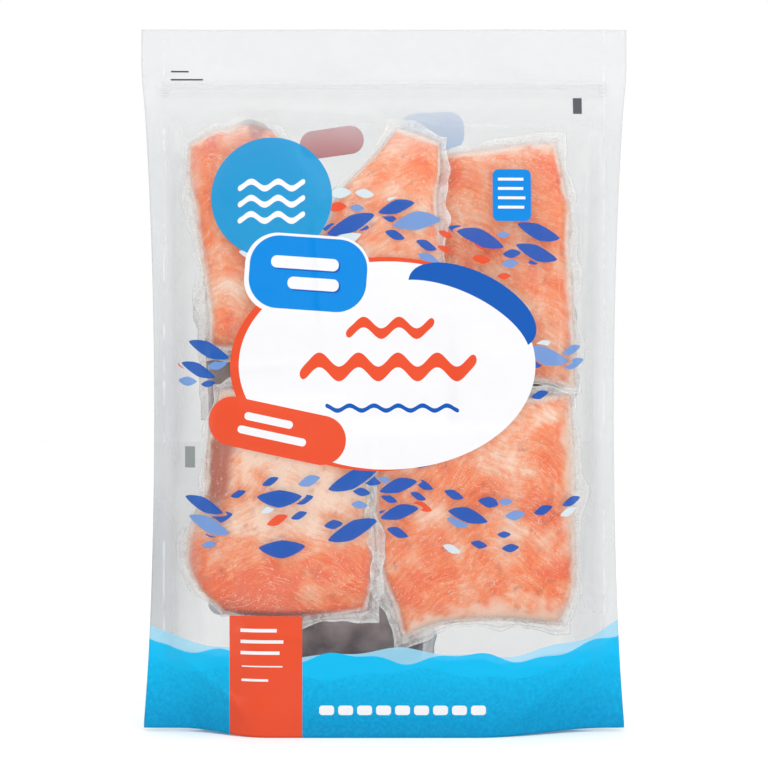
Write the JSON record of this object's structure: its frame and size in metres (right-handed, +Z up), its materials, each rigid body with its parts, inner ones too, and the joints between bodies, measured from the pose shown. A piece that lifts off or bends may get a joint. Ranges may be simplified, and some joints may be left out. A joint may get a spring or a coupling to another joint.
{
  "type": "stand-up pouch of salmon fillet portions",
  "caption": "Filled stand-up pouch of clear printed film: flat zip header, side seals, bulging body and bottom gusset, packed with raw skin-on salmon fillet portions.",
  "frame": {"origin": "on the floor plane, under the middle of the pouch's width and depth", "axes": "+Z up the pouch from its foot to its header, +X across its width, and the front panel faces -Y"},
  "size_m": [0.24, 0.0482, 0.347],
  "materials": {
    "printed_film": "clear laminated film with printed fields of blue, white and orange-red",
    "clear_sleeve": "thin clear vacuum film",
    "salmon_flesh": "raw frozen salmon, moist and satin, with pale fibres and a silvery skin on the back"
  },
  "bodies": {
    "root": {"pouch": "printed_film"}
  },
  "joints": []
}
